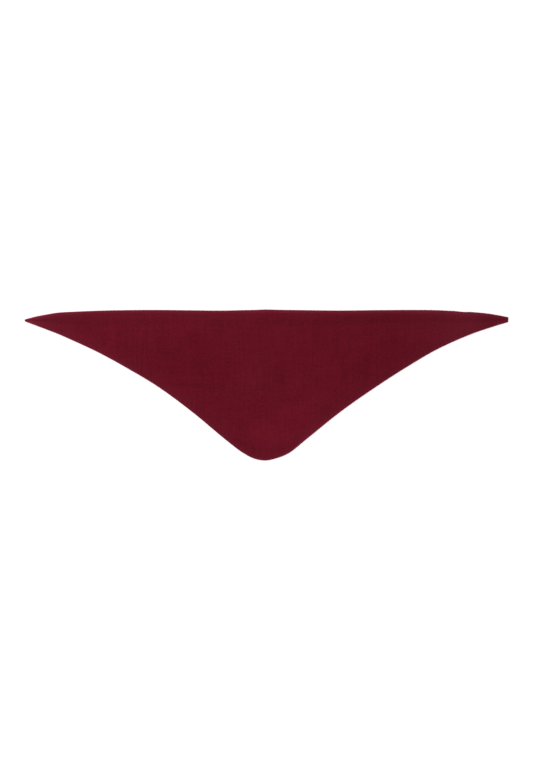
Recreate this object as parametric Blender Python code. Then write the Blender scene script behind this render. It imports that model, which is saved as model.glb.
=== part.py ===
"""Triangular neck scarf in fine cashmere jersey, laid flat with its face up.

The body panel is one wall of knitted cloth. Along the neck edge, the long straight one, it is
turned under: the wall rolls over the edge in a soft, slightly puffed bend, and the hem strip lies
flat beneath it. The two lower edges are plain knitted selvedges, one wall thick, that run in from
the narrow tie ends and meet in the rounded point.

Frame: metres, +X from the left tie end to the right one, +Y from the rounded point up to the neck
edge, +Z up from the surface that the scarf lies on. The origin is the middle of the outline's box,
on that surface.
"""

import math
from collections import namedtuple

import bmesh
import bpy

MM = 0.001

# Driving sizes, in millimetres.
LENGTH = 1200.0  # tie end to tie end
WALL = 1.6  # brushed fine-gauge jersey
SEAM_GAP = 0.3  # between the panel and the hem strip
ROLL_CREST = 9.0  # the rolled neck edge is highest this far in
ROLL_FULLNESS = 2.4  # 2 is an ellipse; more is squarer
HEM_WIDTH = 17.0  # from the neck edge to the hem strip's inner edge
HEM_EASE = 0.5  # the hem strip's inner edge is taken off by this much
TIE_END = 15.0  # the last stretch of each tie is closed, with no hem strip inside
TIE_RAMP = 5.0  # over this length the space for the hem strip closes
FOLD_REACH = 36.0  # over this distance from an edge a soft fold rises to its height

# Worked out from them.
HALF_LENGTH = LENGTH / 2
UNDERSIDE = WALL + SEAM_GAP  # height of the cloth's underside where it lies over the hem strip
EDGE_RADIUS = (UNDERSIDE + WALL) / 2  # of the bend at the neck edge
HEM_START = EDGE_RADIUS + SEAM_GAP  # the hem strip's outer edge
SELVEDGE_RADIUS = WALL / 2

# In the narrow ties the neck roll, the hem and the lower edge's rows take these shares of the width.
CREST_SHARE = 0.2
FOOT_SHARE = 0.6
HEM_SHARE = 0.3
SELVEDGE_SHARE = 0.3
EDGE_SHARE = 0.12
SELVEDGE_EDGE_SHARE = 0.06

# Where the cloth is cut across, in millimetres along the length.
END_PLACES = (0.15, 0.55, 1.1, EDGE_RADIUS, 4.0, TIE_END - TIE_RAMP, TIE_END, 22.0, 32.0, 45.0, 60.0, 77.0)
PLACE_SPACING = 18.0
POINT_SPACING = 9.0
POINT_REACH = 81.0  # to each side of the rounded point the places are closer together

# The rows of points across the cloth, as shares: of an edge's rounding, of the way up the roll's
# crest, and of the selvedge's reach. Between them the rows are even.
QUARTER_TURN = tuple(1 - math.cos(math.radians(angle)) for angle in (30, 60, 90))
CREST_ROWS = (0.45, 0.72)
SELVEDGE_ROWS = (0.7, 0.45, 0.22)
SLOPE_ROWS = 3
MIDDLE_ROWS = 15

# The outline at stations along the length: the neck edge's and the lower edge's place across, the
# puff, which is how far the neck roll stands clear of the hem strip at its crest, and the foot,
# which is how far in from the neck edge the roll is down on the surface.
Station = namedtuple("Station", "along neck lower puff foot")
OUTLINE = (
    Station(along=-600, neck=162.0, lower=158.5, puff=0.4, foot=42),
    Station(along=-590, neck=165.0, lower=154.5, puff=0.4, foot=42),
    Station(along=-575, neck=169.0, lower=149.0, puff=0.4, foot=42),
    Station(along=-550, neck=174.0, lower=139.5, puff=0.5, foot=42),
    Station(along=-520, neck=179.0, lower=128.0, puff=0.5, foot=42),
    Station(along=-480, neck=181.5, lower=110.5, puff=0.5, foot=42),
    Station(along=-420, neck=184.0, lower=82.5, puff=0.5, foot=42),
    Station(along=-350, neck=185.5, lower=44.5, puff=0.6, foot=42),
    Station(along=-270, neck=186.0, lower=-3.5, puff=0.5, foot=42),
    Station(along=-180, neck=185.0, lower=-70.0, puff=0.7, foot=42),
    Station(along=-100, neck=184.5, lower=-136.5, puff=0.9, foot=42),
    Station(along=-60, neck=185.5, lower=-167.0, puff=1.1, foot=42),
    Station(along=-30, neck=186.0, lower=-182.5, puff=1.2, foot=42),
    Station(along=-4, neck=187.0, lower=-187.0, puff=1.4, foot=42),
    Station(along=25, neck=186.5, lower=-181.5, puff=1.5, foot=42),
    Station(along=55, neck=186.0, lower=-169.0, puff=1.6, foot=42),
    Station(along=95, neck=185.5, lower=-137.5, puff=1.7, foot=42),
    Station(along=180, neck=184.5, lower=-69.0, puff=1.8, foot=39),
    Station(along=270, neck=185.5, lower=-5.5, puff=1.7, foot=36),
    Station(along=350, neck=186.0, lower=46.0, puff=1.6, foot=34),
    Station(along=420, neck=185.5, lower=87.0, puff=1.3, foot=33),
    Station(along=480, neck=182.5, lower=115.0, puff=1.0, foot=30),
    Station(along=520, neck=180.0, lower=131.0, puff=0.8, foot=29),
    Station(along=550, neck=177.0, lower=141.0, puff=0.6, foot=28),
    Station(along=575, neck=173.0, lower=149.0, puff=0.5, foot=28),
    Station(along=600, neck=168.0, lower=156.5, puff=0.4, foot=28),
)
POINT = min(OUTLINE, key=lambda station: station.lower)  # the rounded point

# Soft folds, where the cloth lifts off the surface: the middle of the crest, the crest's
# direction in degrees from +X, and the fold's length, width and height.
Fold = namedtuple("Fold", "along across turn length width height")
FOLDS = (
    Fold(along=14, across=-150, turn=-8, length=230, width=106, height=3.4),
    Fold(along=-196, across=132, turn=10, length=230, width=104, height=1.9),
    Fold(along=-290, across=128, turn=-41, length=220, width=104, height=1.8),
    Fold(along=132, across=-62, turn=33, length=230, width=104, height=1.9),
    Fold(along=296, across=84, turn=-31, length=130, width=104, height=1.9),
    Fold(along=218, across=62, turn=75, length=160, width=104, height=2.2),
    Fold(along=-365, across=116, turn=-66, length=140, width=80, height=1.6),
    Fold(along=-20, across=38, turn=80, length=190, width=82, height=1.5),
    Fold(along=70, across=-130, turn=87, length=200, width=54, height=1.2),
    Fold(along=-168, across=9, turn=-1, length=170, width=32, height=0.8),
    Fold(along=87, across=8, turn=67, length=120, width=50, height=1.0),
)

CLOTH_COLOUR = (0.105, 0.0085, 0.0175, 1.0)  # burgundy, linear
CLOTH_ROUGHNESS = 0.9
SHARP_ANGLE = math.radians(40)
WELD = 0.001 * MM


def clamp(value, low=0.0, high=1.0):
    return max(low, min(high, value))


def ease(share):
    """0 to 1, level at both ends."""
    share = clamp(share)
    return share * share * (3 - 2 * share)


def bulge(share, power=2.0):
    """0 to 1 along a quarter turn: steep at the start, level at the end."""
    return (1 - (1 - clamp(share)) ** power) ** (1 / power)


def slope_at_station(i, column):
    """The slope of one column at a station, from the stretches on both sides of it."""
    i = clamp(i, 1, len(OUTLINE) - 2)
    before, here, after = OUTLINE[i - 1 : i + 2]
    run_before = here.along - before.along
    run_after = after.along - here.along
    slope_before = (getattr(here, column) - getattr(before, column)) / run_before
    slope_after = (getattr(after, column) - getattr(here, column)) / run_after
    return (slope_before * run_after + slope_after * run_before) / (run_before + run_after)


def outline_at(along, column):
    """One column of the outline, on a smooth curve through its stations."""
    i = max(k for k in range(len(OUTLINE) - 1) if OUTLINE[k].along <= along)
    first, second = OUTLINE[i], OUTLINE[i + 1]
    run = second.along - first.along
    t = (along - first.along) / run
    return (
        getattr(first, column) * (1 + 2 * t) * (1 - t) ** 2
        + getattr(second, column) * t * t * (3 - 2 * t)
        + slope_at_station(i, column) * run * t * (1 - t) ** 2
        + slope_at_station(i + 1, column) * run * t * t * (t - 1)
    )


def edge_cosine(along, column):
    """The cosine of an edge's angle to the length: a distance across times this is square to the edge."""
    start = max(along - 1, -HALF_LENGTH)
    end = min(along + 1, HALF_LENGTH)
    rise = outline_at(end, column) - outline_at(start, column)
    return (end - start) / math.hypot(end - start, rise)


def fold_lift(along, across):
    """How far the soft folds lift the cloth. Each is a rounded crest that fades towards its ends."""
    lift = 0.0
    for fold in FOLDS:
        turn = math.radians(fold.turn)
        right = along - fold.along
        up = across - fold.across
        along_crest = abs(right * math.cos(turn) + up * math.sin(turn)) / (fold.length / 2)
        off_crest = abs(up * math.cos(turn) - right * math.sin(turn)) / (fold.width / 2)
        lift += fold.height * (1 - ease(along_crest)) * (1 - ease(off_crest))
    return lift


class Section:
    """The scarf cut across at one place along its length. Depths run inwards, square to an edge."""

    def __init__(self, along):
        self.along = along
        self.neck = outline_at(along, "neck")
        self.lower = outline_at(along, "lower")
        self.puff = outline_at(along, "puff")
        self.neck_cosine = edge_cosine(along, "neck")
        self.lower_cosine = edge_cosine(along, "lower")
        width = (self.neck - self.lower) * min(self.neck_cosine, self.lower_cosine)
        self.crest = min(ROLL_CREST, CREST_SHARE * width)
        self.foot = min(outline_at(along, "foot"), FOOT_SHARE * width)
        self.hem = min(HEM_WIDTH, HEM_SHARE * width)
        self.edge = min(EDGE_RADIUS, EDGE_SHARE * width)
        self.selvedge_edge = min(SELVEDGE_RADIUS, SELVEDGE_EDGE_SHARE * width)
        self.selvedge = min(FOLD_REACH, SELVEDGE_SHARE * width)
        from_end = HALF_LENGTH - abs(along)
        self.hem_room = clamp((from_end - TIE_END + TIE_RAMP) / TIE_RAMP)
        self.end_round = bulge(from_end / EDGE_RADIUS)

    def from_neck(self, depth):
        return self.neck - depth / self.neck_cosine

    def from_lower(self, depth):
        return self.lower + depth / self.lower_cosine

    def neck_depth(self, across):
        return (self.neck - across) * self.neck_cosine

    def lower_depth(self, across):
        return (across - self.lower) * self.lower_cosine

    def roll(self, across):
        """How high the neck roll holds the cloth's underside over the surface."""
        depth = self.neck_depth(across)
        over_hem = UNDERSIDE + self.puff * ease(depth / self.crest)
        return over_hem * (1 - ease((depth - self.crest) / (self.foot - self.crest)))

    def lift(self, across):
        """How high the soft folds hold it. They fade towards the neck roll and the selvedge."""
        from_roll = ease((self.neck_depth(across) - self.hem) / FOLD_REACH)
        from_selvedge = ease(self.lower_depth(across) / FOLD_REACH)
        return fold_lift(self.along, across) * from_roll * from_selvedge

    def wall(self, across, side):
        """The wall's top (side 1) or bottom (side -1), which meet in the selvedge's rounded edge."""
        rounding = bulge(self.lower_depth(across) / self.selvedge_edge)
        return WALL / 2 * (1 + side * rounding)

    def top(self, across):
        height = self.roll(across) + self.lift(across) + self.wall(across, 1)
        bend = bulge(self.neck_depth(across) / self.crest, ROLL_FULLNESS)
        return EDGE_RADIUS + (height - EDGE_RADIUS) * bend if bend < 1 else height

    def bottom(self, across):
        """The outer underside, where it bends round the neck edge or lies on the surface."""
        bend = EDGE_RADIUS * (1 - bulge(self.neck_depth(across) / self.edge))
        return bend + self.wall(across, -1)

    def under(self, across):
        """The underside over the hem strip and beneath the folds."""
        return self.roll(across) * self.hem_room + self.lift(across)

    def pinched(self, across, height):
        """A height drawn in towards the wall's middle where the tie end is rounded off."""
        middle = (self.top(across) + self.bottom(across)) / 2
        return middle + (height - middle) * self.end_round

    def neck_edge_rows(self):
        return [self.from_neck(self.edge * share) for share in QUARTER_TURN]

    def selvedge_edge_rows(self):
        return [self.from_lower(self.selvedge_edge * share) for share in QUARTER_TURN]

    def roll_rows(self, first):
        """Over the roll, from a first depth to its foot."""
        gap_end = self.hem + SEAM_GAP
        slope = [gap_end + (self.foot - gap_end) * (k + 1) / SLOPE_ROWS for k in range(SLOPE_ROWS)]
        return [self.from_neck(depth) for depth in [*first, self.crest, gap_end, *slope]]

    def middle_rows(self):
        """From the roll's foot to the selvedge, the last rows closer together."""
        start = self.from_neck(self.foot)
        end = self.from_lower(self.selvedge)
        even = [start + (end - start) * (k + 1) / MIDDLE_ROWS for k in range(MIDDLE_ROWS)]
        return even + [self.from_lower(self.selvedge * share) for share in SELVEDGE_ROWS]


def panel_ring(along):
    """The body panel's wall, cut across: over the top, round the selvedge, back beneath."""
    section = Section(along)
    halfway_up = [share * section.crest for share in CREST_ROWS]
    top_rows = section.neck_edge_rows() + section.roll_rows(halfway_up) + section.middle_rows()
    top_rows += reversed(section.selvedge_edge_rows())
    under_rows = [section.from_neck(section.edge)] + section.roll_rows([]) + section.middle_rows()
    outline = [(section.neck, EDGE_RADIUS)]
    outline += [(across, section.top(across)) for across in top_rows]
    outline += [(section.lower, WALL / 2)]
    outline += [(across, section.bottom(across)) for across in section.selvedge_edge_rows()]
    outline += [(across, section.under(across)) for across in reversed(under_rows)]
    outline += [(across, section.bottom(across)) for across in reversed(section.neck_edge_rows())]
    return [(along, across, section.pinched(across, height)) for across, height in outline]


def hem_ring(along):
    """The hem strip, cut across: flat on the surface, with the corners of its inner edge taken off."""
    section = Section(along)
    outline = (
        (HEM_START, 0.0),
        (section.hem - HEM_EASE, 0.0),
        (section.hem, HEM_EASE),
        (section.hem, WALL - HEM_EASE),
        (section.hem - HEM_EASE, WALL),
        (HEM_START, WALL),
    )
    return [(along, section.from_neck(depth), height) for depth, height in outline]


def steps(start, end, spacing):
    """Even steps from start, as near the spacing as fits, leaving the end out."""
    count = round((end - start) / spacing)
    return [start + (end - start) * k / count for k in range(count)]


def places_along():
    """Where the cloth is cut across: closer together at the tie ends and round the point."""
    left = [-HALF_LENGTH + distance for distance in END_PLACES]
    right = [HALF_LENGTH - distance for distance in reversed(END_PLACES)]
    point_start = POINT.along - POINT_REACH
    point_end = POINT.along + POINT_REACH
    return (
        left[:-1]
        + steps(left[-1], point_start, PLACE_SPACING)
        + steps(point_start, point_end, POINT_SPACING)
        + steps(point_end, right[0], PLACE_SPACING)
        + right
    )


def loft(name, rings, collection, material):
    """A closed body through rings with the same number of points, with flat ends."""
    mesh = bpy.data.meshes.new(name)
    bm = bmesh.new()
    loops = [[bm.verts.new([c * MM for c in point]) for point in ring] for ring in rings]
    for near, far in zip(loops, loops[1:]):
        for k in range(len(near)):
            bm.faces.new((near[k - 1], near[k], far[k], far[k - 1]))
    bm.faces.new(loops[0])
    bm.faces.new(loops[-1])
    bmesh.ops.remove_doubles(bm, verts=bm.verts, dist=WELD)
    bmesh.ops.triangulate(bm, faces=bm.faces)
    bmesh.ops.recalc_face_normals(bm, faces=bm.faces)
    bm.to_mesh(mesh)
    bm.free()
    mesh.shade_smooth()
    mesh.set_sharp_from_angle(angle=SHARP_ANGLE)
    mesh.materials.append(material)
    piece = bpy.data.objects.new(name, mesh)
    collection.objects.link(piece)


def cloth_material(name):
    material = bpy.data.materials.new(name)
    material.use_nodes = True
    shader = material.node_tree.nodes["Principled BSDF"]
    shader.inputs["Base Color"].default_value = CLOTH_COLOUR
    shader.inputs["Roughness"].default_value = CLOTH_ROUGHNESS
    shader.inputs["Metallic"].default_value = 0.0
    return material


def make_body_panel(collection):
    rings = [panel_ring(along) for along in places_along()]
    loft("body_panel", rings, collection, cloth_material("panel_jersey"))


def make_neck_hem(collection):
    reach = HALF_LENGTH - TIE_END
    rings = [hem_ring(along) for along in places_along() if abs(along) <= reach]
    loft("neck_hem", rings, collection, cloth_material("hem_jersey"))


def main():
    for old in list(bpy.data.objects):
        bpy.data.objects.remove(old)
    scarf = bpy.data.collections.new("cashmere_scarf")
    bpy.context.scene.collection.children.link(scarf)
    make_body_panel(scarf)
    make_neck_hem(scarf)


main()
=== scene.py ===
"""Looks for the triangular cashmere scarf: one continuous jersey cloth with its neck hem turned
under, the hem's sewing, the looped selvedges, the brushed nap, and a plain pale studio.

It is laid out as a Blender add-on and run as a script. Sizes are in metres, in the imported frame:
+X from the left tie end to the right one, +Y from the rounded point to the neck edge, +Z up.
"""

import math
from collections import namedtuple

import bpy
import numpy as np
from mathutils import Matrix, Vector


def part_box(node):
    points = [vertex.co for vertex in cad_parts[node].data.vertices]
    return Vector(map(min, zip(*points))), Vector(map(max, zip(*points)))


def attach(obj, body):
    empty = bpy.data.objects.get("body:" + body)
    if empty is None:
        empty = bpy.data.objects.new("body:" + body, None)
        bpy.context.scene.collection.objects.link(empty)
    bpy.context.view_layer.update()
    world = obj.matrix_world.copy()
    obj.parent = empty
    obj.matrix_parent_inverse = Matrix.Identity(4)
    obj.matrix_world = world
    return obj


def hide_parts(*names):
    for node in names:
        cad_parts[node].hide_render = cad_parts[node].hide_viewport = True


bl_info = {
    "name": "Cashmere scarf looks",
    "version": (1, 0, 0),
    "blender": (4, 5, 0),
    "location": "3D View > Sidebar > Scarf",
    "description": "Knits, hems and brushes a triangular cashmere scarf, and lays it in a studio",
    "category": "Add Mesh",
}

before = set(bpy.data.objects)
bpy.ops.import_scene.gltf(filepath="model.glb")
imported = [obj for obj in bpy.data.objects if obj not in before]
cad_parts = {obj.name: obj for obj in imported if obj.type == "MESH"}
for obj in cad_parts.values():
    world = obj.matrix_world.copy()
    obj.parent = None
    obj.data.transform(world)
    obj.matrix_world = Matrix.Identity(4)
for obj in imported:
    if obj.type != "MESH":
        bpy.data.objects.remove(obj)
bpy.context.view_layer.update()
PANEL_LOW, PANEL_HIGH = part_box("body_panel")
HEM_LOW, HEM_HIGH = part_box("neck_hem")


def table(name, columns, *rows):
    """Rows whose values are called by their columns' names."""
    kind = namedtuple(name, columns)
    return [kind(*row) for row in rows]


MM = 0.001
WALL = HEM_HIGH[2] - HEM_LOW[2]  # the hem strip lies flat, so its height is the cloth's thickness
SEAM_GAP = 0.3 * MM
UNDERSIDE = WALL + SEAM_GAP  # of the cloth where it lies over the hem
EDGE_RADIUS = (UNDERSIDE + WALL) / 2
END = PANEL_HIGH[0]  # the tie ends are this far from the middle
CUT = "flat_cut"  # the UV map that holds each point's place on the flat cloth, in metres
LIGHT_AND_TONE, SHEEN_AND_GREYING = "painted_light_and_tone", "painted_sheen_and_greying"  # attributes: painted light and shade with a darker rim, and painted sheen with greying
PAINTED_BLEED = "painted_colour_bleed"  # an attribute of the floor, the painted colour bleed: 1 beside the cloth, and 0 away from it
FACE, REVERSE = 0, 1  # material slots: the knit's face, and its reverse

# The neck roll, the hem and the selvedges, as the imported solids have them, in millimetres. In the
# narrow ties they take shares of the width instead.
ROLL_CREST, ROLL_REACH, HEM_WIDTH, FOLD_REACH = 9.0, 12.0, 17.0, 36.0
ROLL_FEET = table(
    "Foot",
    "along depth",
    (-600, 42),
    (95, 42),
    (180, 39),
    (270, 36),
    (350, 34),
    (420, 33),
    (480, 30),
    (520, 29),
    (550, 28),
    (600, 28),
)
CREST_SHARE, FOOT_SHARE, HEM_SHARE, SELVEDGE_SHARE = 0.2, 0.6, 0.3, 0.3
EDGE_SHARE, SELVEDGE_EDGE_SHARE = 0.12, 0.06
ROLL_FULLNESS = 2.4  # the power of the roll's outer curve: 2 would be an ellipse
SEWING_WIDTH = 1.8  # of the slight dip that the hem's sewing leaves on the face

# Soft folds, in millimetres and degrees: the crest's middle, its direction, and the fold's length,
# width and height.
FOLDS = table(
    "Fold",
    "along across turn length width height",
    (14, -150, -8, 230, 106, 3.4),
    (-196, 132, 10, 230, 104, 1.9),
    (-290, 128, -41, 220, 104, 1.8),
    (132, -62, 33, 230, 104, 1.9),
    (296, 84, -31, 130, 104, 1.9),
    (218, 62, 75, 160, 104, 2.2),
    (-365, 116, -66, 140, 80, 1.6),
    (-20, 38, 80, 190, 82, 1.5),
    (70, -130, 87, 200, 54, 1.2),
    (-168, 9, -1, 170, 32, 0.8),
    (87, 8, 67, 120, 50, 1.0),
)

# Soft patches of painted light and shade: paler where the brushed nap would lie towards the light, darker
# where it would lie away from it. The patch is laid out like a fold. Tone is the share by which it is painted
# paler there, and bloom how much greyer.
PAINTED_LIGHT_PATCHES = table(
    "Lay",
    "along across turn length width tone bloom",
    (56, -125, -8, 330, 220, 0.15, 0.0),
    (290, 70, 0, 380, 280, -0.06, 0.0),
    (-177, 42, 0, 150, 140, -0.07, 0.0),
    (-300, 80, -20, 260, 150, -0.03, 0.0),
    (120, 60, 90, 200, 150, 0.035, 0.0),
    (40, 165, 0, 320, 70, 0.04, 0.0),
    (-500, 160, 0, 260, 120, -0.07, 0.0),
    (-185, 50, -20, 280, 190, 0.0, -0.06),
    (-103, 99, 0, 90, 80, -0.04, 0.0),
    (-85, 0, 0, 90, 80, -0.04, 0.0),
    (-295, 25, -33, 220, 70, -0.04, 0.0),
    (133, -62, 0, 90, 80, 0.03, 0.0),
    (-150, 20, 0, 140, 100, -0.035, 0.0),
    (340, 165, 0, 420, 80, -0.05, 0.0),
    (470, 160, 0, 260, 140, -0.06, 0.0),
    (470, 135, -20, 360, 210, 0.0, 0.32),
    (552, 155, 0, 170, 120, -0.19, 0.05),
    (-580, 162, 0, 100, 90, 0.08, 0.15),
    (-586, 163, 12, 90, 26, 0.14, 0.1),
    (-597, 161, 0, 44, 30, 0.3, 0.2),
    (-413, 117, 0, 80, 70, 0.05, 0.0),
    (108, 12, 0, 60, 100, 0.07, 0.0),
    (157, -75, 38, 220, 130, 0.0, 0.09),
    (20, -145, 0, 120, 70, 0.0, 0.08),
    (-28, 20, 0, 120, 130, 0.0, 0.13),
    (432, 104, 24, 220, 90, -0.10, 0.0),
    (506, 157, 0, 90, 70, 0.09, 0.0),
    (66, 27, 0, 80, 80, -0.07, 0.0),
    (53, 129, 0, 110, 60, 0.05, 0.0),
    (-80, 88, 0, 80, 50, 0.06, 0.0),
    (62, -70, 80, 170, 60, 0.05, 0.0),
    (-160, 0, 0, 170, 80, 0.035, 0.0),
    (470, 176, -5, 200, 40, 0.0, 0.18),
    (-150, 60, -10, 420, 160, 0.0, -0.05),
    (150, 80, 0, 300, 160, 0.0, -0.05),
)

# Along every edge the cloth is darker over 1.6 times the rim's width. Painted sheen makes it greyer over
# the width itself and a little greyer over 4 times it. The ties are greyer too: this starts 400 mm from
# the middle and is full 200 mm further out.
RIM_TONE, RIM_REACH = -0.06, 1.6
RIM_BLOOM, SHEEN_BLOOM, SHEEN_REACH = 0.48, 0.18, 4
TIE_BLOOM, TIE_START, TIE_RUN = 0.3, 400, 200

# Slight ripples in the lying cloth: the direction across them in degrees, their spacing in
# millimetres, where the first one is, and their share of the ripple height.
RIPPLES = table(
    "Ripple",
    "turn spacing start share",
    (12, 61, 0.3, 1.0),
    (-38, 47, 1.9, 0.8),
    (78, 83, 4.1, 1.0),
    (-72, 33, 2.6, 0.5),
    (33, 23, 5.3, 0.3),
)

# One hem stitch, from the hem over its edge into the panel. For each point: how far it lies past the
# hem's edge and how high, in millimetres, and its share of the yarn's thickness.
HEM_STITCH = table(
    "StitchPoint",
    "past height thickness",
    (-2.3, 0.32, 0.35),
    (-1.7, 0.1, 0.85),
    (-0.9, 0.04, 1.0),
    (0.05, 0.45, 1.0),
    (0.42, 1.15, 1.0),
    (0.75, 1.75, 0.85),
    (1.1, 2.2, 0.35),
)
STITCH_LEAN = 0.55  # of the way from one hem stitch to the next

# One selvedge loop, up through the face, over the edge and in beneath. For each point: how far it lies
# forward, as a share of a loop, how far outward and how high, in millimetres, and its thickness.
SELVEDGE_LOOP = table(
    "LoopPoint",
    "forward outward height thickness",
    (-0.62, -2.5, 1.30, 0.4),
    (-0.52, -1.8, 1.52, 0.9),
    (-0.30, -1.15, 1.56, 1.1),
    (-0.05, -0.55, 1.36, 1.1),
    (0.16, -0.28, 0.80, 1.0),
    (0.05, -0.55, 0.34, 0.8),
    (-0.20, -1.2, 0.30, 0.4),
)

# The studio, in metres and degrees.
# The bleed colour is the cloth's colour painted into the floor's glow beside it, as painted bounced light.
WHITE, PAINTED_BLEED_COLOUR, FLOOR_MOTTLE = (1.0, 1.0, 1.0), (1.0, 0.30, 0.42), (0.15, 0.15, 0.15)
FLOOR_REACH, FLOOR_DROP = 150.0, 0.6 * MM
KEY_PLACE, KEY_SPREAD = (-1.5, 2.4, 1.98), 24
SIDE_PLACE, SIDE_SIZE = (-1.5, 1.6, 1.2), 0.9
SENSOR_WIDTH = 36.0  # of the camera, in millimetres
MEAN_FACE = 1.5 * MM  # the height of the cloth's face, where the picture's scale holds


# Sizes and colours that a user would change.


def length(name, description, default):
    return bpy.props.FloatProperty(
        name=name, description=description, default=default, precision=5, subtype="DISTANCE", unit="LENGTH"
    )


def amount(name, description, default, high=1.0):
    return bpy.props.FloatProperty(name=name, description=description, default=default, min=0.0, max=high)


def how_many(name, description, default):
    return bpy.props.IntProperty(name=name, description=description, default=default, min=0)


def colour(name, description, default):
    return bpy.props.FloatVectorProperty(
        name=name, description=description, default=default, size=3, min=0.0, max=1.0, subtype="COLOR"
    )


class ClothSizes(bpy.types.PropertyGroup):
    station: length("Station", "Distance between the cloth's cross-sections", 2.62 * MM)
    ripple: length("Ripple height", "Height of the slight ripples in the lying cloth", 0.22 * MM)
    stitch_dip: length("Stitch dip", "How far the hem's sewing draws the face in", 0.10 * MM)
    fullness: length("Edge fullness", "How far the knit stands out past the plain solid's edges", 0.12 * MM)
    # The rim is painted darker, and greyer with painted sheen.
    rim_width: length("Worn edge", "Width of the dustier, more brushed rim along every edge", 10 * MM)


class KnitSizes(bpy.types.PropertyGroup):
    wale: length("Wale", "Width of one column of loops", 1.72 * MM)
    course: length("Course", "Height of one row of loops", 1.34 * MM)
    relief: length("Relief", "Height of the loops and the nap over them", 0.34 * MM)
    nap: amount("Nap", "How much of the relief is brushed nap", 0.5)


class YarnColours(bpy.types.PropertyGroup):
    main: colour("Burgundy", "The yarn in plain light", (0.1050, 0.0040, 0.0113))
    deep: colour("Between loops", "The yarn in the small shadows between loops", (0.0597, 0.0027, 0.0067))
    bloom: colour("Bloom", "The paler tips of the nap", (0.1220, 0.0102, 0.0199))
    sheen: colour("Sheen", "The colour that the nap takes at a glancing angle", (0.62, 0.13, 0.22))
    wisp: colour("Wisps", "The loose fibres that lie over the face", (0.24, 0.0160, 0.0400))
    # Painted light: this bright colour stands for the light that would come through the fuzz.
    fringe: colour("Fringe", "The fuzz along the edges, where light comes through it", (0.76, 0.034, 0.125))


class SewingSizes(bpy.types.PropertyGroup):
    yarn: length("Yarn", "Thickness of the yarn in the sewing and the selvedges", 0.62 * MM)
    hem_pitch: length("Hem stitch", "From one hem stitch to the next", 2.7 * MM)
    loop_pitch: length("Selvedge loop", "From one selvedge loop to the next", 2.68 * MM)


class NapSizes(bpy.types.PropertyGroup):
    fibre: length("Fibre", "Length of the longest loose fibres", 2.4 * MM)
    thickness: length("Fibre thickness", "Thickness of a wisp of fibres at its root", 0.12 * MM)
    spacing: length("Fibre spacing", "Distance between wisps along an edge", 0.08 * MM)
    on_face: how_many("On the face", "How many wisps lie over the face", 10000)
    on_ends: how_many("On the tie ends", "How many wisps close the tie ends", 320)
    seed: how_many("Seed", "Sets how the fibres fall", 7)


class StudioSizes(bpy.types.PropertyGroup):
    lens: bpy.props.FloatProperty(name="Lens", description="Focal length", default=85.0, unit="CAMERA")
    view_height: length("View height", "How much of the floor the picture's long side takes in", 1.9106)
    key: amount("Key", "Strength of the large soft light from behind the neck edge", 2.0, 10.0)
    side: amount("Side", "Power of the lamp by the left tie", 30.0, 200.0)
    fill: amount("Fill", "Strength of the even light from all round", 0.62, 4.0)
    floor: colour("Floor", "Colour of the plain floor", (0.20, 0.20, 0.20))
    glow: amount("Glow", "How much light the floor gives from beneath", 0.87, 2.0)
    # Painted light: the cloth's colour is painted into the floor's glow right beside it.
    bleed: amount("Colour bleed", "How much the cloth's colour tints the floor right beside it", 0.42)
    bleed_width: length("Bleed width", "How far from the cloth that tint goes", 3.5 * MM)


# The shape of the cloth.


def ease(t):
    """0 to 1, level at both ends."""
    t = np.clip(t, 0.0, 1.0)
    return t * t * (3 - 2 * t)


def bulge(t, power=2.0):
    """0 to 1 along a quarter turn: steep at the start, level at the end."""
    return (1 - (1 - np.clip(t, 0.0, 1.0)) ** power) ** (1 / power)


def quarter_turn(rows):
    """Shares of a radius, closest together at the outside of a bend."""
    return 1 - np.cos(np.linspace(0, math.pi / 2, rows + 1)[1:])


def smooth_through(places, values, at):
    """Values at other places, on a smooth curve through the known ones."""
    run = np.diff(places)
    rise = np.diff(values) / run
    slopes = np.empty_like(values)
    slopes[1:-1] = (rise[:-1] * run[1:] + rise[1:] * run[:-1]) / (run[:-1] + run[1:])
    slopes[0], slopes[-1] = rise[0], rise[-1]
    i = np.clip(np.searchsorted(places, at) - 1, 0, len(run) - 1)
    t = (at - places[i]) / run[i]
    return (
        values[i] * (1 + 2 * t) * (1 - t) ** 2
        + values[i + 1] * t * t * (3 - 2 * t)
        + slopes[i] * run[i] * t * (1 - t) ** 2
        + slopes[i + 1] * run[i] * t * t * (t - 1)
    )


def packed_outline():
    """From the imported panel: places along it, and at each its neck edge, lower edge and roll's top."""
    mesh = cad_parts["body_panel"].data
    points = np.empty(len(mesh.vertices) * 3)
    mesh.vertices.foreach_get("co", points)
    points = points.reshape(-1, 3)
    places, ring = np.unique(points[:, 0].round(5), return_inverse=True)
    rows = []
    for k in range(len(places)):
        across, height = points[ring == k, 1], points[ring == k, 2]
        neck = across.max()
        on_roll = across > neck - ROLL_REACH * MM
        rows.append((neck, across.min(), height[on_roll].max()))
    return (places, *np.array(rows).T)


PLACES, NECK, LOWER, ROLL_TOP = packed_outline()
# The panel closes down at its very ends, so the roll's height there is taken from just inside them.
INSIDE_END = END - 4 * MM
FULL_TOP = np.interp(np.clip(PLACES, -INSIDE_END, INSIDE_END), PLACES, ROLL_TOP)
POINT_ALONG = PLACES[LOWER.argmin()]


def within(form, along, across):
    """1 at the middle of a fold or a patch, easing to 0 at its ends and sides."""
    turn = math.radians(form.turn)
    right = along - form.along * MM
    up = across - form.across * MM
    along_crest = abs(right * math.cos(turn) + up * math.sin(turn)) / (form.length / 2 * MM)
    off_crest = abs(up * math.cos(turn) - right * math.sin(turn)) / (form.width / 2 * MM)
    return (1 - ease(along_crest)) * (1 - ease(off_crest))


def fold_lift(along, across):
    """How far the soft folds lift the cloth."""
    return sum(fold.height * MM * within(fold, along, across) for fold in FOLDS)


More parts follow.
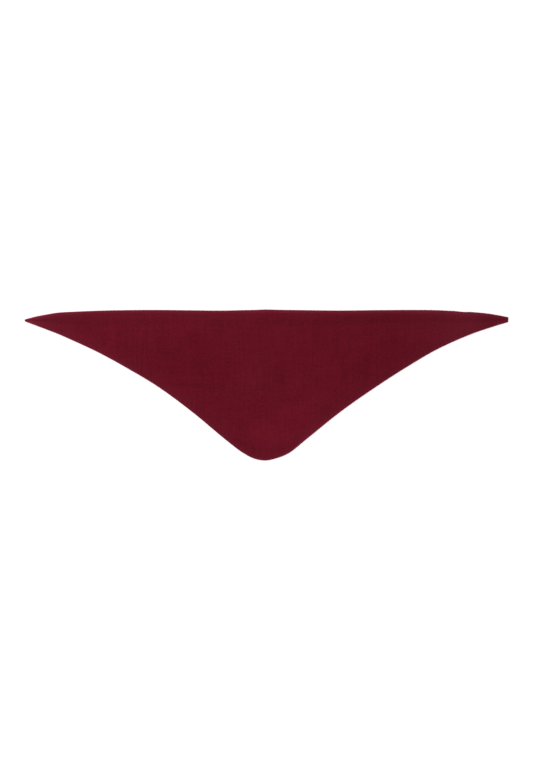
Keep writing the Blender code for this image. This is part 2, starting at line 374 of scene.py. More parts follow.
def ripple_lift(along, across, height):
    """The slight ripples, which only ever lift the cloth."""
    wave = np.zeros(np.broadcast(along, across).shape)
    for ripple in RIPPLES:
        turn = math.radians(ripple.turn)
        way = (along * math.cos(turn) + across * math.sin(turn)) / (ripple.spacing * MM)
        bend = 0.35 * np.sin(way * 1.7 + ripple.start * 3)
        wave += ripple.share * np.sin(math.tau * way + ripple.start + bend * math.tau)
    wave /= sum(ripple.share for ripple in RIPPLES)
    return height * (0.5 + 0.5 * wave)


class Cloth:
    """The cloth at stations along it, in arrays with a row for each. Depths run square in from an edge."""

    def __init__(self, stations, sizes):
        along = self.along = np.asarray(stations, float)[:, None]
        self.ripple = sizes.ripple
        self.stitch_dip = sizes.stitch_dip
        self.rim_width = sizes.rim_width
        self.crown = smooth_through(PLACES, FULL_TOP, along) - UNDERSIDE - WALL
        self.neck_slope = self.slope(NECK)
        self.lower_slope = self.slope(LOWER)
        self.neck_cosine = 1 / np.hypot(1, self.neck_slope)
        self.lower_cosine = 1 / np.hypot(1, self.lower_slope)
        self.neck = smooth_through(PLACES, NECK, along) + sizes.fullness / self.neck_cosine
        self.lower = smooth_through(PLACES, LOWER, along) - sizes.fullness / self.lower_cosine
        width = (self.neck - self.lower) * np.minimum(self.neck_cosine, self.lower_cosine)
        self.crest = np.minimum(ROLL_CREST * MM, CREST_SHARE * width)
        feet_along, feet = np.array(ROLL_FEET, float).T * MM  # the table's two columns
        self.foot = np.minimum(smooth_through(feet_along, feet, along), FOOT_SHARE * width)
        self.hem = np.minimum(HEM_WIDTH * MM, HEM_SHARE * width)
        self.edge = np.minimum(EDGE_RADIUS, EDGE_SHARE * width)
        self.selvedge_edge = np.minimum(WALL / 2, SELVEDGE_EDGE_SHARE * width)
        self.selvedge = np.minimum(FOLD_REACH * MM, SELVEDGE_SHARE * width)
        self.end_round = bulge((END - abs(along)) / EDGE_RADIUS + 0.002)  # never quite shut

    def slope(self, edge):
        step = 0.5 * MM
        ahead, behind = np.minimum(self.along + step, END), np.maximum(self.along - step, -END)
        rise = smooth_through(PLACES, edge, ahead) - smooth_through(PLACES, edge, behind)
        return rise / (ahead - behind)

    def from_neck(self, depth):
        return self.neck - depth / self.neck_cosine

    def from_lower(self, depth):
        return self.lower + depth / self.lower_cosine

    def neck_depth(self, across):
        return (self.neck - across) * self.neck_cosine

    def lower_depth(self, across):
        return (across - self.lower) * self.lower_cosine

    def roll(self, across):
        """How high the neck roll holds the cloth's underside over the surface."""
        depth = self.neck_depth(across)
        over_hem = UNDERSIDE + self.crown * ease(depth / self.crest)
        return over_hem * (1 - ease((depth - self.crest) / (self.foot - self.crest)))

    def lift(self, across):
        """How high the folds and ripples hold it. They fade towards the neck roll and the selvedge."""
        from_neck, from_lower = self.neck_depth(across), self.lower_depth(across)
        fold_room = ease((from_neck - self.hem) / (FOLD_REACH * MM)) * ease(from_lower / (FOLD_REACH * MM))
        ripple_room = ease(from_neck / self.foot) * ease(from_lower / self.selvedge)
        folds = fold_lift(self.along, across) * fold_room
        return folds + ripple_lift(self.along, across, self.ripple) * ripple_room

    def rounding(self, across):
        return bulge(self.lower_depth(across) / self.selvedge_edge)

    def top(self, across):
        """The face, outside."""
        depth = self.neck_depth(across)
        dip = self.stitch_dip * np.exp(-(((depth - self.hem) / (SEWING_WIDTH * MM)) ** 2))
        height = self.roll(across) + self.lift(across) + WALL / 2 * (1 + self.rounding(across)) - dip
        bend = bulge(depth / self.crest, ROLL_FULLNESS)
        return np.where(bend < 1, EDGE_RADIUS + (height - EDGE_RADIUS) * bend, height)

    def under(self, across):
        """The reverse, beneath."""
        return self.roll(across) + self.lift(across) + WALL / 2 * (1 - self.rounding(across))

    def beneath_edge(self, depth):
        """Where the cloth bends under at the neck edge."""
        return EDGE_RADIUS * (1 - bulge(depth / self.edge))

    def from_edge(self, across):
        """How far a place is from the nearer edge, square to it."""
        return np.minimum(self.neck_depth(across), self.lower_depth(across))

    def pinched(self, across, height):
        """A height drawn in to the middle where the tie end is rounded off."""
        middle = (self.top(across) + self.beneath_edge(self.neck_depth(across))) / 2
        return middle + (height - middle) * self.end_round


def stations_along(spacing):
    """Along the cloth, closer together at its tie ends."""
    closing = np.array([0, 0.06, 0.2, 0.45, 0.8, 1.25, 1.8, 2.5, 3.4, 4.6, 6.1, 8.0, 10.2]) * MM
    inner = END - closing[-1]
    middle = np.linspace(-inner, inner, round(2 * inner / spacing) + 1)
    return np.concatenate([closing[:-1] - END, middle, END - closing[-2::-1]])


def cloth_rings(cloth):
    """Each station's ring round the cloth, in bands of rows. It runs from the neck edge over the face,
    round the selvedge, back along the reverse into the fold, along the inside of the hem, round the
    hem's edge and out along its face to the neck edge. Returns points (stations, rows, 3), each row's
    side and each point's distance from the neck edge on the flat cloth."""
    neck, lower = cloth.from_neck, cloth.from_lower
    foot, selvedge = neck(cloth.foot), lower(cloth.selvedge)

    def between(start, end, rows):
        return start + (end - start) * np.linspace(0, 1, rows + 1)[1:]

    inside = np.minimum(WALL, 0.45 * cloth.hem)  # the depth of the fold's inside
    past_fold = inside + 0.5 * MM * (inside / WALL)
    hem_edge = np.minimum(WALL / 2, 0.2 * cloth.hem)
    turn = np.linspace(0, math.pi, 7)[1:-1]
    over_crest = neck(cloth.crest * np.concatenate([[0], quarter_turn(11)]))
    down_roll = between(over_crest[:, -1:], foot, 13)
    middle = between(foot, selvedge, 80)
    to_selvedge = between(selvedge, lower(cloth.selvedge_edge), 9)
    round_selvedge = lower(cloth.selvedge_edge * (1 - quarter_turn(5)))
    face = np.concatenate([over_crest, down_roll, middle, to_selvedge, round_selvedge], axis=1)
    from_edge = lower(cloth.selvedge_edge * quarter_turn(4))
    back = between(lower(cloth.selvedge_edge), selvedge, 7)
    back_middle = between(selvedge, foot, 32)
    up_roll = between(foot, neck(cloth.hem), 8)
    over_hem = between(neck(cloth.hem), neck(past_fold), 5)
    reverse = np.concatenate([from_edge, back, back_middle, up_roll, over_hem], axis=1)
    fold = neck(inside)
    hem_inside = between(neck(past_fold), neck(cloth.hem - hem_edge), 4)
    hem_inside = np.concatenate([neck(inside + 0.4 * MM * (inside / WALL)), hem_inside], axis=1)
    hem_round = neck(cloth.hem - hem_edge + hem_edge * np.sin(turn))
    hem_face = between(neck(cloth.hem - hem_edge), neck(cloth.edge), 5)
    hem_face = np.concatenate([neck(cloth.hem - hem_edge), hem_face], axis=1)
    edge_depths = cloth.edge * (1 - quarter_turn(5))[:-1]
    bend = neck(edge_depths)

    level = np.ones_like(cloth.along)
    bands = (
        (face, cloth.top(face), FACE),
        (reverse, cloth.under(reverse), REVERSE),
        (fold, EDGE_RADIUS * level, REVERSE),
        (hem_inside, WALL * np.ones_like(hem_inside), REVERSE),
        (hem_round, WALL / 2 + WALL / 2 * np.cos(turn) * level, FACE),
        (hem_face, np.zeros_like(hem_face), FACE),
        (bend, cloth.beneath_edge(edge_depths), FACE),
    )
    across = np.concatenate([band[0] for band in bands], axis=1)
    height = np.concatenate([band[1] for band in bands], axis=1)
    side = np.concatenate([np.full(band[0].shape[1], band[2]) for band in bands])
    height = cloth.pinched(across, height)
    points = np.stack([np.broadcast_to(cloth.along, across.shape), across, height], axis=2)
    step = np.linalg.norm(np.diff(points[:, : face.shape[1]], axis=1), axis=2)
    run = np.concatenate([0 * level, np.cumsum(step, axis=1)], axis=1)
    beyond = cloth.neck_depth(across[:, face.shape[1] :])
    stretch = run[:, -1:] / cloth.neck_depth(cloth.lower)
    flat = np.concatenate([run, beyond * stretch], axis=1)
    flat[:, face.shape[1] + reverse.shape[1] :] = -beyond[:, reverse.shape[1] :]
    return points, side, flat


def ring_normals(points):
    """Outward normals of a grid of rings, from its neighbours."""
    along = np.gradient(points, axis=0)
    around = np.roll(points, -1, axis=1) - np.roll(points, 1, axis=1)
    normal = np.cross(around, along)
    size = np.linalg.norm(normal, axis=2, keepdims=True)
    return normal / np.maximum(size, 1e-12)


def new_piece(name, points, faces, materials):
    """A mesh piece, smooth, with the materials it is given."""
    mesh = bpy.data.meshes.new(name)
    mesh.from_pydata(points.tolist(), [], faces)
    mesh.shade_smooth()
    for material in materials:
        mesh.materials.append(material)
    piece = bpy.data.objects.new(name, mesh)
    bpy.context.scene.collection.objects.link(piece)
    return piece


def lay_flat(mesh, place):
    """Give a mesh its UV map, from each point's place on the flat cloth."""
    corners = np.empty(len(mesh.loops), dtype=np.int32)
    mesh.loops.foreach_get("vertex_index", corners)
    mesh.uv_layers.new(name=CUT).uv.foreach_set("vector", place[corners].astype(np.float32).ravel())


def tubes(paths, thickness, sides):
    """Closed tubes along paths (how many, points, 3), as points and faces. Thickness is each point's, and
    a tube whose last thickness is 0 ends in a point."""
    count, steps, _ = paths.shape
    way = np.gradient(paths, axis=1)
    way /= np.linalg.norm(way, axis=2, keepdims=True)
    upright = np.where(abs(way[..., 2:]) > 0.9, (1.0, 0.0, 0.0), (0.0, 0.0, 1.0))
    first = np.cross(way, upright)
    first /= np.linalg.norm(first, axis=2, keepdims=True)
    second = np.cross(way, first)
    angle = math.tau * np.arange(sides) / sides
    ring = first[:, :, None] * np.cos(angle)[:, None] + second[:, :, None] * np.sin(angle)[:, None]
    radius = np.broadcast_to(thickness, (count, steps))[:, :, None, None] / 2
    points = (paths[:, :, None] + ring * radius).reshape(count, -1, 3)
    pointed = thickness[-1] == 0
    if pointed:
        points = points[:, : 1 - sides]
    index = np.arange(points.shape[0] * points.shape[1]).reshape(count, -1)
    rings = index[:, : (steps - pointed) * sides].reshape(count, -1, sides)
    ahead = np.roll(rings, -1, axis=2)
    walls = np.stack([rings[:, :-1], ahead[:, :-1], ahead[:, 1:], rings[:, 1:]], axis=3).reshape(-1, 4)
    if pointed:
        tip = np.broadcast_to(index[:, -1:], (count, sides))
        ends = np.stack([rings[:, -1], ahead[:, -1], tip], axis=2).reshape(-1, 3)[:, ::-1]
    else:
        ends = rings[:, -1, ::-1]
    return points.reshape(-1, 3), walls[:, ::-1].tolist() + rings[:, 0].tolist() + ends.tolist()


# Materials.


class Value:
    """A socket that gives a number. Python's operators on it add the Math nodes."""

    def __init__(self, finish, socket):
        self.finish = finish
        self.socket = socket

    def math(self, operation, *terms):
        inputs = dict(enumerate(terms))
        return self.finish.add("ShaderNodeMath", {"operation": operation}, inputs)

    def __add__(self, other):
        return self.math("ADD", self, other)

    def __sub__(self, other):
        return self.math("SUBTRACT", self, other)

    def __rsub__(self, other):
        return self.math("SUBTRACT", other, self)

    def __mul__(self, other):
        return self.math("MULTIPLY", self, other)

    def __truediv__(self, other):
        return self.math("DIVIDE", self, other)

    def __abs__(self):
        return self.math("ABSOLUTE", self)

    def fraction(self):
        return self.math("FRACT", self)

    def cosine(self):
        return self.math("COSINE", self)

    def clipped(self, low, high):
        """0 to 1, eased, as the value goes from low to high."""
        settings = {"interpolation_type": "SMOOTHSTEP", "clamp": True}
        inputs = {"Value": self, "From Min": low, "From Max": high}
        return self.finish.add("ShaderNodeMapRange", settings, inputs)


class Finish:
    """One material and its nodes."""

    def __init__(self, name):
        self.material = bpy.data.materials.new(name)
        self.material.use_nodes = True
        self.tree = self.material.node_tree
        self.shader = self.tree.nodes["Principled BSDF"]

    def add(self, kind, settings=None, inputs=None, output=0):
        """A node of this kind. Its settings go first, then its sockets' values or links."""
        node = self.tree.nodes.new(kind)
        for name, value in (settings or {}).items():
            setattr(node, name, value)
        self.feed(node, inputs or {})
        return Value(self, node.outputs[output])

    def feed(self, node, inputs):
        for name, value in inputs.items():
            socket = node.inputs[name]
            if isinstance(value, Value):
                self.tree.links.new(value.socket, socket)
            elif socket.type == "RGBA":
                socket.default_value = (*value[:3], 1.0)
            else:
                socket.default_value = value

    def stretched(self, place, scales):
        return self.add("ShaderNodeVectorMath", {"operation": "MULTIPLY"}, {0: place, 1: scales})

    def noise(self, place, scales, detail=2.0, roughness=0.5):
        """Noise from 0 to 1. Scales are features to the metre along, across and up."""
        inputs = {"Vector": self.stretched(place, scales), "Scale": 1.0}
        inputs |= {"Detail": detail, "Roughness": roughness}
        return self.add("ShaderNodeTexNoise", {"noise_dimensions": "3D"}, inputs)

    def blend(self, factor, first, second):
        """A colour from first to second."""
        node = self.tree.nodes.new("ShaderNodeMix")
        node.data_type, node.clamp_factor = "RGBA", True
        sockets = [s for s in node.inputs if s.enabled]
        for socket, value in zip(sockets, (factor, first, second)):
            if isinstance(value, Value):
                self.tree.links.new(value.socket, socket)
            else:
                socket.default_value = value if socket.type == "VALUE" else (*value[:3], 1.0)
        return Value(self, next(s for s in node.outputs if s.enabled))

    def scaled(self, tint, factor):
        """A colour times a number."""
        return self.add("ShaderNodeVectorMath", {"operation": "SCALE"}, {0: tint, "Scale": factor})

    def bump(self, height, distance, strength):
        inputs = {"Height": height, "Distance": distance, "Strength": strength}
        return self.add("ShaderNodeBump", None, inputs)

    def attribute(self, name):
        """A number that the mesh holds for each point."""
        return self.add("ShaderNodeAttribute", {"attribute_name": name}, output=2)

    def axes(self, place):
        """A vector's parts."""
        split = self.add("ShaderNodeSeparateXYZ", None, {0: place})
        outputs = split.socket.node.outputs
        return [Value(self, outputs[k]) for k in range(3)]

    def dress(self, base, roughness, normal, sheen):
        """Matte wool, with a soft sheen from its nap and next to no gloss."""
        inputs = {"Base Color": base, "Roughness": roughness, "Normal": normal}
        inputs |= {"Specular IOR Level": 0.01, "Sheen Weight": 0.12, "Sheen Roughness": 0.45}
        inputs |= {"Sheen Tint": sheen}
        self.feed(self.shader, inputs)


def face_loops(along, across, knit):
    """The height of plain knit's face, 0 to 1: columns of slanted stitch legs."""
    leg = abs((along / knit.wale).fraction() - 0.5)
    bow = leg * 4 - 1
    slant = across / knit.course - leg * 1.5
    return (1 - bow * bow) * ((slant * math.tau).cosine() * 0.34 + 0.66)


def reverse_loops(along, across, knit):
    """The height of its reverse, 0 to 1: rows of interlocking arcs."""
    arc = (along * (math.tau / knit.wale)).cosine()
    row = (across / knit.course + arc * 0.22) * math.tau
    return (row.cosine() * 0.5 + 0.5) * (arc * 0.12 + 0.88)


def jersey(name, loops):
    """Brushed cashmere jersey: fine loops under a soft nap that lies along the columns."""
    scene = bpy.context.scene
    knit, yarn = scene.scarf_knit, scene.scarf_yarn
    finish = Finish(name)
    place = finish.add("ShaderNodeUVMap", {"uv_map": CUT})
    along, across, _ = finish.axes(place)
    drift = finish.noise(place, (34, 21, 1)) - 0.5
    stitch = loops(along + drift * (0.5 * knit.wale), across + drift * (0.7 * knit.course), knit)
    nap = finish.noise(place, (1150, 420, 1), detail=4.0, roughness=0.62)
    hairs = finish.noise(place, (3600, 640, 1), detail=2.0)
    cover = finish.noise(place, (160, 110, 1), detail=2.0).clipped(0.3, 0.7)
    brushed = nap * 0.62 + hairs * 0.38
    buried = cover * 0.35 + knit.nap
    height = stitch * (1 - buried) + brushed * (buried + 0.25)

    streaks = finish.noise(place, (170, 9, 1), detail=3.0, roughness=0.6)
    mottle = finish.noise(place, (15, 13, 1), detail=3.0)
    heather = finish.noise(place, (260, 210, 1), detail=3.0, roughness=0.7)
    tone = finish.noise(place, (22, 22, 1), detail=4.5, roughness=0.9) - 0.5
    grain = finish.noise(place, (250, 230, 1), detail=1.0) - 0.5
    rows = finish.noise(place, (11, 180, 1), detail=2.0) - 0.5
    # The loops' height paints shade between them, towards the deep colour; the noises add random tone.
    shade = height.clipped(0.15, 0.75) * 0.5 + tone * 1.65 + grain * 0.95 + rows * 0.55
    shade += (streaks - 0.5) * 0.6 + 0.3
    body = finish.blend(shade, tuple(yarn.deep), tuple(yarn.main))
    pale = heather.clipped(0.3, 0.75) * 0.46 - 0.09
    pale += streaks.clipped(0.3, 0.8) * 0.1 + mottle.clipped(0.35, 0.75) * 0.08
    # From the mesh's numbers: painted sheen greys the edges and patches, the ties are greyer, and painted
    # light and shade makes patches paler or darker.
    greyed = finish.blend(pale + finish.attribute(SHEEN_AND_GREYING), body, tuple(yarn.bloom))
    finish.dress(
        finish.scaled(greyed, finish.attribute(LIGHT_AND_TONE) + 1),
        brushed * 0.16 + 0.8,
        finish.bump(height, knit.relief, 0.75),
        tuple(yarn.sheen),
    )
    return finish.material


def spun_yarn(name, greyed):
    """Two-ply cashmere yarn, softly hairy."""
    scene = bpy.context.scene
    yarn = scene.scarf_yarn
    finish = Finish(name)
    place = finish.add("ShaderNodeTexCoord", output=3)
    along, across, _ = finish.axes(place)
    twist = ((along + across * 0.6) * (math.tau / (0.8 * MM))).cosine() * 0.5 + 0.5
    hairs = finish.noise(place, (2600, 2600, 2600), detail=3.0, roughness=0.6)
    height = twist * 0.45 + hairs * 0.55
    # The twist's grooves are painted with shade, towards the deep colour; the hairs add random tone.
    body = finish.blend(height.clipped(0.2, 0.8), tuple(yarn.deep), tuple(yarn.main))
    base = finish.blend(hairs.clipped(0.5, 0.8) * 0.3 + greyed, body, tuple(yarn.bloom))
    finish.dress(base, hairs * 0.14 + 0.8, finish.bump(height, 0.12 * MM, 0.7), tuple(yarn.sheen))
    return finish.material


def loose_fibre(name, dark, pale):
    """Single cashmere fibres, mixed at random from a dark colour to a pale one."""
    finish = Finish(name)
    place = finish.add("ShaderNodeTexCoord", output=3)
    change = finish.noise(place, (2400, 2400, 2400), detail=2.0)
    finish.feed(
        finish.shader,
        {
            "Base Color": finish.blend(change.clipped(0.2, 0.6), dark, pale),
            "Roughness": change * 0.1 + 0.72,
            "Specular IOR Level": 0.05,
        },
    )
    return finish.material


def matte_floor(name, studio):
    """Plain pale studio floor, a translucent sheet lit softly from beneath so that it holds no hard shadow.
    Right beside the cloth a little of the cloth's colour is painted into its glow, as painted bounced light."""
    finish = Finish(name)
    place = finish.add("ShaderNodeTexCoord", output=3)
    grain = finish.noise(place, (60, 60, 60), detail=2.0)
    finish.feed(
        finish.shader,
        {
            "Base Color": finish.blend(grain * 0.04, tuple(studio.floor), FLOOR_MOTTLE),
            "Roughness": grain * 0.1 + 0.85,
            "Specular IOR Level": 0.0,
            "Emission Color": finish.blend(finish.attribute(PAINTED_BLEED) * studio.bleed, WHITE, PAINTED_BLEED_COLOUR),
            "Emission Strength": studio.glow,
        },
    )
    return finish.material


# Operators, one for each piece or group of like pieces.


def cloth_grid(scene):
    cloth = Cloth(stations_along(scene.scarf_cloth.station), scene.scarf_cloth)
    return (cloth, *cloth_rings(cloth))


def lower_edge(cloth):
    """The lower edge: its points, the way out from it and the way along it."""
    level = 0 * cloth.along
    points = np.concatenate([cloth.along, cloth.lower, level], axis=1)
    way = np.concatenate([cloth.lower_cosine, cloth.lower_slope * cloth.lower_cosine, level], axis=1)
    out = np.concatenate([way[:, 1:2], -way[:, :1], level], axis=1)
    return points, out, way


def hold_numbers(mesh, name, values):
    """Give each point of a mesh a number that its material reads."""
    attribute = mesh.attributes.new(name, "FLOAT", "POINT")
    attribute.data.foreach_set("value", values.astype(np.float32).ravel())


class SCARF_OT_knit_cloth(bpy.types.Operator):
    """Knit the jersey cloth: the panel, with its neck hem turned under in one piece with it"""

    bl_idname = "scarf.knit_cloth"
    bl_label = "Knit the cloth"

    def execute(self, context):
        cloth, points, side, flat = cloth_grid(context.scene)
        stations, rows, _ = points.shape
        index = np.arange(stations * rows).reshape(stations, rows)
        ahead = np.roll(index, -1, axis=1)
        quads = np.stack([index[:-1], ahead[:-1], ahead[1:], index[1:]], axis=2).reshape(-1, 4)
        caps = [index[0, ::-1].tolist(), index[-1].tolist()]
        materials = (jersey("jersey_face", face_loops), jersey("jersey_reverse", reverse_loops))
        piece = new_piece("scarf_jersey", points.reshape(-1, 3), quads[:, ::-1].tolist() + caps, materials)
        mesh = piece.data
        slots = np.concatenate([np.tile(side, stations - 1), [FACE, FACE]]).astype(np.int32)
        mesh.polygons.foreach_set("material_index", slots)
        lay_flat(mesh, np.stack([points[..., 0].ravel(), flat.ravel()], axis=1))
        along, across = points[..., 0], points[..., 1]
        # The numbers for the jersey's colour: painted light and shade in patches, a darker rim, painted sheen
        # along every edge and in patches, and greyer ties.
        from_edge = cloth.from_edge(across) / cloth.rim_width
        tone = sum(lay.tone * within(lay, along, across) for lay in PAINTED_LIGHT_PATCHES)
        tone += RIM_TONE * (1 - ease(from_edge / RIM_REACH))
        bloom = sum(lay.bloom * within(lay, along, across) for lay in PAINTED_LIGHT_PATCHES)
        bloom += TIE_BLOOM * ease((abs(along) - TIE_START * MM) / (TIE_RUN * MM))
        bloom += RIM_BLOOM * (1 - ease(from_edge)) + SHEEN_BLOOM * (1 - ease(from_edge / SHEEN_REACH))
        hold_numbers(mesh, LIGHT_AND_TONE, tone)
        hold_numbers(mesh, SHEEN_AND_GREYING, bloom)
        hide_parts("body_panel", "neck_hem")
        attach(piece, "root")
        return {"FINISHED"}


class SCARF_OT_sew_hem(bpy.types.Operator):
    """Sew the hem's inner edge down, with slanted stitches round it on the underside"""

    bl_idname = "scarf.sew_hem"
    bl_label = "Sew the hem"

    def execute(self, context):
        scene = context.scene
        sewing = scene.scarf_sewing
        sewn = END - 14 * MM  # the sewing stops short of the tie ends
        stations = np.arange(-sewn, sewn, sewing.hem_pitch)
        lean = np.linspace(-0.5, 0.5, len(HEM_STITCH)) * STITCH_LEAN * sewing.hem_pitch
        paths = []
        for shift, point in zip(lean, HEM_STITCH):
            cloth = Cloth(stations + shift, scene.scarf_cloth)
            narrow = np.minimum(1.0, cloth.hem / (8 * MM))  # smaller stitches where the hem is narrow
            across = cloth.from_neck(cloth.hem + point.past * MM * narrow)
            height = np.minimum(point.height * MM + sewing.yarn / 2, cloth.under(across) + 0.1 * MM)
            paths.append(np.concatenate([cloth.along, across, height], axis=1))
        taper = np.array([point.thickness for point in HEM_STITCH]) * sewing.yarn
        points, faces = tubes(np.stack(paths, axis=1), taper, 6)
        piece = new_piece("hem_stitches", points, faces, (spun_yarn("hem_yarn", 0.15),))
        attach(piece, "root")
        return {"FINISHED"}


class SCARF_OT_loop_selvedges(bpy.types.Operator):
    """Make the loops that close the two lower edges, from each tie end to the rounded point"""

    bl_idname = "scarf.loop_selvedges"
    bl_label = "Loop the selvedges"

    def execute(self, context):
        scene = context.scene
        yarn = spun_yarn("selvedge_yarn", 0.6)
        looped = END - 5 * MM  # the loops stop short of the tie ends
        for side, start, end in (("left", -looped, POINT_ALONG), ("right", POINT_ALONG, looped)):
            points, faces = self.loops(scene, start, end)
            piece = new_piece(side + "_selvedge_loops", points, faces, (yarn,))
            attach(piece, "root")
        return {"FINISHED"}

    def loops(self, scene, start, end):
        """Slanted loops at even distances along the lower edge, between two places."""
        sewing = scene.scarf_sewing
        fine = np.linspace(start, end, 2000)
        edge = Cloth(fine, scene.scarf_cloth)
        run = np.concatenate([[0], np.cumsum(np.hypot(np.diff(fine), np.diff(edge.lower[:, 0])))])
        count = int(run[-1] / sewing.loop_pitch)
        stations = np.interp((np.arange(count) + 0.5) * run[-1] / count, run, fine)
        cloth = Cloth(stations, scene.scarf_cloth)
        base, out, way = lower_edge(cloth)
        narrow = np.minimum(1.0, (cloth.neck - cloth.lower) / (16 * MM))  # smaller loops in the ties
        paths = []
        for point in SELVEDGE_LOOP:
            path = base + way * point.forward * sewing.loop_pitch + out * point.outward * MM * narrow
            path[:, 2] = point.height * MM
            paths.append(path)
        taper = np.array([point.thickness for point in SELVEDGE_LOOP]) * sewing.yarn
        return tubes(np.stack(paths, axis=1), taper, 6)


class SCARF_OT_brush_nap(bpy.types.Operator):
    """Raise the loose fibres that stand out from the cloth's edges and lie over its face"""

    bl_idname = "scarf.brush_nap"
    bl_label = "Brush the nap"

    def execute(self, context):
        scene = context.scene
        sizes, yarn = scene.scarf_nap, scene.scarf_yarn
        self.sizes = sizes
        self.chance = np.random.default_rng(sizes.seed)
        cloth, self.points, _, _ = cloth_grid(scene)
        self.normals = ring_normals(self.points)
        stations, rows, _ = self.points.shape
        selvedge = int(np.argmin(self.points[stations // 2, :, 1]))
        inner = np.arange(3, stations - 4)
        ends = np.array([0, 1, 2, stations - 4, stations - 3, stations - 2])
        lower_run = np.hypot(np.diff(cloth.along[:, 0]), np.diff(cloth.lower[:, 0])).sum()
        # The fringe's bright colours are painted light, for the light that would come through the fibres.
        fringe = loose_fibre("fringe_fibre", tuple(c / 2 for c in yarn.fringe), tuple(yarn.fringe))
        fibre = loose_fibre("face_fibre", tuple(yarn.bloom), tuple(yarn.wisp))
        edge = {"stand": 0.95, "shortest": 0.2, "rarity": 2.2, "fibre": fringe}
        on_neck, on_lower = int(2 * END / sizes.spacing), int(lower_run / sizes.spacing)
        self.raise_fibres("neck_edge_nap", inner, [rows - 1, 0], on_neck, **edge)
        self.raise_fibres("lower_edge_nap", inner, [selvedge - 1, selvedge], on_lower, **edge)
        self.raise_fibres("tie_end_nap", ends, np.arange(rows), sizes.on_ends, **edge)
        face = {"stand": 0.22, "shortest": 0.2, "rarity": 1.2, "fibre": fibre}
        self.raise_fibres("face_nap", inner, np.arange(6, selvedge - 6), sizes.on_face, **face)
        return {"FINISHED"}

    def raise_fibres(self, name, stations, rows, count, stand, shortest, rarity, fibre):
        """Tapering fibres, spread evenly over the cloth that follows these stations and rows. Stand is how
        steeply they leave it, and rarity how few of them are much longer than the shortest, which is a
        share of the longest."""
        points, normals, chance = self.points, self.normals, self.chance
        rows = np.array(rows)
        beyond = (rows + 1) % points.shape[1]
        here, ahead = points[stations][:, rows], points[stations + 1][:, rows]
        area = np.linalg.norm(np.cross(ahead - here, points[stations][:, beyond] - here), axis=2)
        covered = np.cumsum(area) / area.sum()
        place = (np.arange(count) + chance.uniform(0, 1, count)) / count
        patch = np.searchsorted(covered, place).clip(max=area.size - 1)
        i, j, k = stations[patch // len(rows)], rows[patch % len(rows)], beyond[patch % len(rows)]
        part, row_part = chance.uniform(0, 1, (2, count, 1))
        near = points[i, j] * (1 - part) + points[i + 1, j] * part
        far = points[i, k] * (1 - part) + points[i + 1, k] * part
        root = near * (1 - row_part) + far * row_part
        normal = normals[i, j]
        lean = chance.normal(0, 1, (count, 3))
        lean -= normal * (lean * normal).sum(1, keepdims=True)
        lean /= np.maximum(np.linalg.norm(lean, axis=1, keepdims=True), 1e-9)
        reach = self.sizes.fibre * (shortest + (1 - shortest) * chance.uniform(0, 1, (count, 1)) ** rarity)
        curl = chance.normal(0, 0.35, (count, 3))
        paths = []
        for t in (0.0, 0.5, 1.0):
            out = normal * stand * (t - 0.35 * t * t)
            over = lean * (1 - 0.5 * stand) * t + curl * t * t * 0.6
            point = root - normal * 0.05 * MM + (out + over) * reach
            point[:, 2] = np.maximum(point[:, 2], 0.05 * MM)
            paths.append(point)
        taper = np.array([1.0, 0.75, 0.0]) * self.sizes.thickness
        mesh_points, faces = tubes(np.stack(paths, axis=1), taper, 3)
        piece = new_piece(name, mesh_points, faces, (fibre,))
        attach(piece, "root")


class SCARF_OT_lay_out(bpy.types.Operator):
    bl_idname = "scarf.lay_out"
    bl_label = "Lay the scarf out"

    def execute(self, context):
        hem = HEM_WIDTH * MM + math.pi * EDGE_RADIUS / 2
        depth = PANEL_HIGH[1] - PANEL_LOW[1] + hem
        return {"FINISHED"}


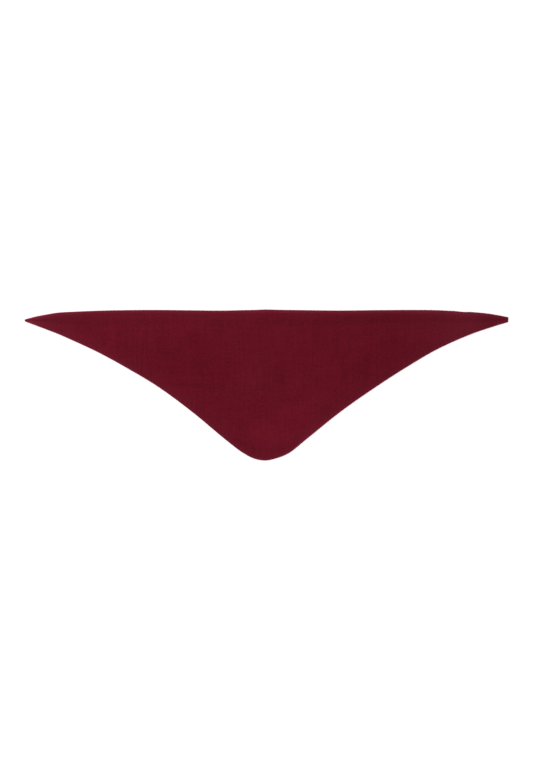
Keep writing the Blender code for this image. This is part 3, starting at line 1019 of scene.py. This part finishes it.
class SCARF_OT_set_stage(bpy.types.Operator):
    """Set up the plain pale floor, the soft studio light and the camera straight above"""

    bl_idname = "scarf.set_stage"
    bl_label = "Set the stage"

    def execute(self, context):
        scene = context.scene
        studio = scene.scarf_studio
        points, bleed = self.floor_grid(scene, studio.bleed_width)
        columns, rows, _ = points.shape
        index = np.arange(columns * rows).reshape(columns, rows)
        near, far = index[:, :-1], index[:, 1:]
        quads = np.stack([near[:-1], near[1:], far[1:], far[:-1]], axis=2).reshape(-1, 4)
        mesh = bpy.data.meshes.new("floor")
        mesh.from_pydata(points.reshape(-1, 3).tolist(), [], quads.tolist())
        hold_numbers(mesh, PAINTED_BLEED, bleed)
        mesh.materials.append(matte_floor("studio_floor", studio))
        floor = bpy.data.objects.new("floor", mesh)
        scene.collection.objects.link(floor)

        world = bpy.data.worlds.new("studio")
        world.use_nodes = True
        sky = world.node_tree.nodes["Background"].inputs
        sky["Color"].default_value = (*WHITE, 1.0)
        sky["Strength"].default_value = studio.fill
        scene.world = world
        self.lamp("key", "SUN", KEY_PLACE, math.radians(KEY_SPREAD), studio.key)
        self.lamp("side", "AREA", SIDE_PLACE, SIDE_SIZE, studio.side)

        camera = bpy.data.objects.new("camera", bpy.data.cameras.new("camera"))
        scene.collection.objects.link(camera)
        camera.data.lens = studio.lens
        camera.data.sensor_width = SENSOR_WIDTH
        camera.data.clip_start, camera.data.clip_end = 0.1, 400.0
        camera.location = (0.0, 0.0, studio.lens / SENSOR_WIDTH * studio.view_height + MEAN_FACE)
        scene.camera = camera
        scene.view_settings.view_transform = "Standard"
        scene.view_settings.look = "None"
        return {"FINISHED"}

    def floor_grid(self, scene, width):
        """A flat grid whose lines follow the cloth's outline, and how much of the cloth's colour is painted
        into each point's glow.
        """
        gaps = np.array([0, 0.1, 0.2, 0.3, 0.45, 0.65, 1]) * width
        ends = END + np.append(gaps, FLOOR_REACH)
        along = np.concatenate([-ends[::-1], stations_along(scene.scarf_cloth.station), ends])
        cloth = Cloth(np.clip(along, -END, END), scene.scarf_cloth)
        below = cloth.lower - gaps[::-1] / cloth.lower_cosine
        above = cloth.neck + gaps / cloth.neck_cosine
        far = np.full_like(cloth.along, FLOOR_REACH)
        across = np.concatenate([-far, below, above, far], axis=1)
        beside = np.maximum(-cloth.neck_depth(across), -cloth.lower_depth(across)).clip(0)
        beyond = (abs(along) - END).clip(0)[:, None]
        bleed = (1 - np.hypot(beside, beyond) / width).clip(0) ** 3
        level = np.full_like(across, -FLOOR_DROP)
        return np.stack([np.broadcast_to(along[:, None], across.shape), across, level], axis=2), bleed

    def lamp(self, name, kind, place, spread, power):
        light = bpy.data.lights.new(name, kind)
        light.energy = power
        if kind == "SUN":
            light.angle = spread
        else:
            light.shape, light.size = "DISK", spread
        lamp = bpy.data.objects.new(name, light)
        lamp.location = place
        lamp.rotation_euler = (-Vector(place)).to_track_quat("-Z", "Y").to_euler()
        bpy.context.scene.collection.objects.link(lamp)


STEPS = (
    SCARF_OT_knit_cloth,
    SCARF_OT_sew_hem,
    SCARF_OT_loop_selvedges,
    SCARF_OT_brush_nap,
    SCARF_OT_lay_out,
    SCARF_OT_set_stage,
)


class SCARF_PT_making(bpy.types.Panel):
    """The steps of making the scarf, and its sizes and colours"""

    bl_idname = "SCARF_PT_making"
    bl_label = "Cashmere scarf"
    bl_space_type = "VIEW_3D"
    bl_region_type = "UI"
    bl_category = "Scarf"

    def draw(self, context):
        for step in STEPS:
            self.layout.operator(step.bl_idname)
        for name in GROUPS:
            box = self.layout.box()
            group = getattr(context.scene, name)
            for prop in group.bl_rna.properties:
                if prop.identifier not in ("name", "rna_type"):
                    box.prop(group, prop.identifier)


GROUPS = {
    "scarf_cloth": ClothSizes,
    "scarf_knit": KnitSizes,
    "scarf_yarn": YarnColours,
    "scarf_sewing": SewingSizes,
    "scarf_nap": NapSizes,
    "scarf_studio": StudioSizes,
}
CLASSES = (*GROUPS.values(), *STEPS, SCARF_PT_making)


def register():
    for cls in CLASSES:
        bpy.utils.register_class(cls)
    for name, group in GROUPS.items():
        setattr(bpy.types.Scene, name, bpy.props.PointerProperty(type=group))


def unregister():
    for name in GROUPS:
        delattr(bpy.types.Scene, name)
    for cls in reversed(CLASSES):
        bpy.utils.unregister_class(cls)


def main():
    register()
    bpy.ops.scarf.knit_cloth()
    bpy.ops.scarf.sew_hem()
    bpy.ops.scarf.loop_selvedges()
    bpy.ops.scarf.brush_nap()
    bpy.ops.scarf.lay_out()
    bpy.ops.scarf.set_stage()
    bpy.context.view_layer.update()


if __name__ == "__main__":
    main()
